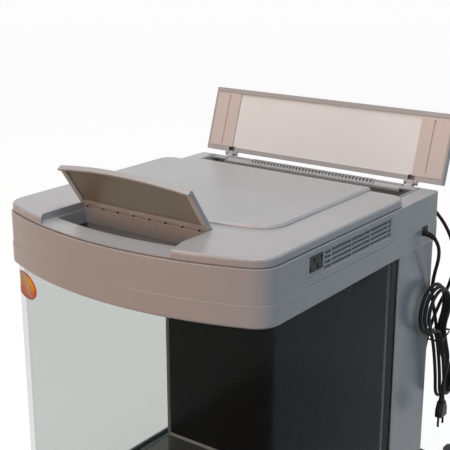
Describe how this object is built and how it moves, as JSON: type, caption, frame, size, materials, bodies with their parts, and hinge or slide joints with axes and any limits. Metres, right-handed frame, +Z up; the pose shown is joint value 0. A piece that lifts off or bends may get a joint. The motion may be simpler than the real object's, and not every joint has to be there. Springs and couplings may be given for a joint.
{
  "type": "panoramic aquarium",
  "caption": "Bowed-front glass aquarium with a silver moulded hood, open rear service lid, feeding flap, vented switch panel and a rear filter chamber",
  "frame": {"origin": "On the underside of the base frame's brace, midway between the sides, where the aquarium rests on its stand.", "axes": "+Z up, +X to the right seen from the front, +Y to the back; the bowed front faces -Y."},
  "size_m": [0.541, 0.7454, 0.6912],
  "materials": {
    "silver_plastic": "satin silver-grey moulded plastic",
    "liner_plastic": "pale silver satin plastic",
    "tank_glass": "clear float glass",
    "black_plastic": "black plastic",
    "black_rubber": "black rubber",
    "pin_steel": "bright pin",
    "white_plastic": "white plastic",
    "silicone": "translucent silicone",
    "foam": "open-cell foam",
    "lamp_glass": "frosted tube"
  },
  "bodies": {
    "tank": {"base_frame": "silver_plastic", "bent_front_glass": "tank_glass", "cord_a_free": "black_rubber", "cord_a_hank": "black_rubber", "cord_a_tail": "black_rubber", "cord_b_coil": "black_rubber", "cord_b_free": "black_rubber", "cord_b_tail": "black_rubber", "filter_basket": "black_plastic", "filter_dividers": "tank_glass", "filter_sponges": "foam", "flap_hinge_pin": "pin_steel", "flap_hinge_strip": "silver_plastic", "floor_glass": "tank_glass", "floor_mat": "black_rubber", "hank_tie": "black_rubber", "hood_cap": "silver_plastic", "hood_frame": "silver_plastic", "lamp_cover": "tank_glass", "lamp_driver": "black_plastic", "lamp_housing": "white_plastic", "lamp_sockets": "white_plastic", "lamp_tubes": "lamp_glass", "lid_hinge_brackets": "silver_plastic", "lid_hinge_pins": "pin_steel", "outlet_nozzle": "black_plastic", "partition_panel": "black_plastic", "plug_a": "black_rubber", "plug_b": "black_rubber", "pump_body": "black_plastic", "pump_intake": "black_plastic", "rear_cord_gland": "black_rubber", "rear_glass": "tank_glass", "rear_housing": "silver_plastic", "rear_rail": "silver_plastic", "rear_vent_comb": "silver_plastic", "riser_pipe": "black_plastic", "side_cord_gland": "black_rubber", "silicone_beads": "silicone", "switch_housings": "black_plastic", "top_band": "silver_plastic", "vent_insert": "silver_plastic"},
    "lid": {"rear_lid": "silver_plastic", "lid_panel": "liner_plastic", "lid_end_covers": "liner_plastic"},
    "flap": {"feed_flap": "silver_plastic", "feed_flap_panel": "liner_plastic"},
    "lamp_switch": {"lamp_rocker": "black_plastic"},
    "pump_switch": {"pump_rocker": "black_plastic"},
    "rotor": {"pump_rotor": "black_plastic"}
  },
  "joints": [
    {"name": "rear_lid", "type": "hinge", "parent": "tank", "child": "lid", "pos_m": [0, 0.2895, 0.5731], "axis": [1, 0, 0], "range_deg": [0, 107.9]},
    {"name": "feed_flap", "type": "hinge", "parent": "tank", "child": "flap", "pos_m": [-0.02, -0.1585, 0.581], "axis": [1, 0, 0], "range_deg": [-34, 56]},
    {"name": "lamp_rocker", "type": "hinge", "parent": "tank", "child": "lamp_switch", "pos_m": [0.246, -0.118, 0.5496], "axis": [0, 1, 0], "range_deg": [0, 24]},
    {"name": "pump_rocker", "type": "hinge", "parent": "tank", "child": "pump_switch", "pos_m": [0.246, -0.0985, 0.5496], "axis": [0, 1, 0], "range_deg": [0, 24]},
    {"name": "rotor_spin", "type": "hinge", "parent": "tank", "child": "rotor", "pos_m": [0.172, 0.2, 0.053], "axis": [0, 1, 0], "continuous": true}
  ]
}
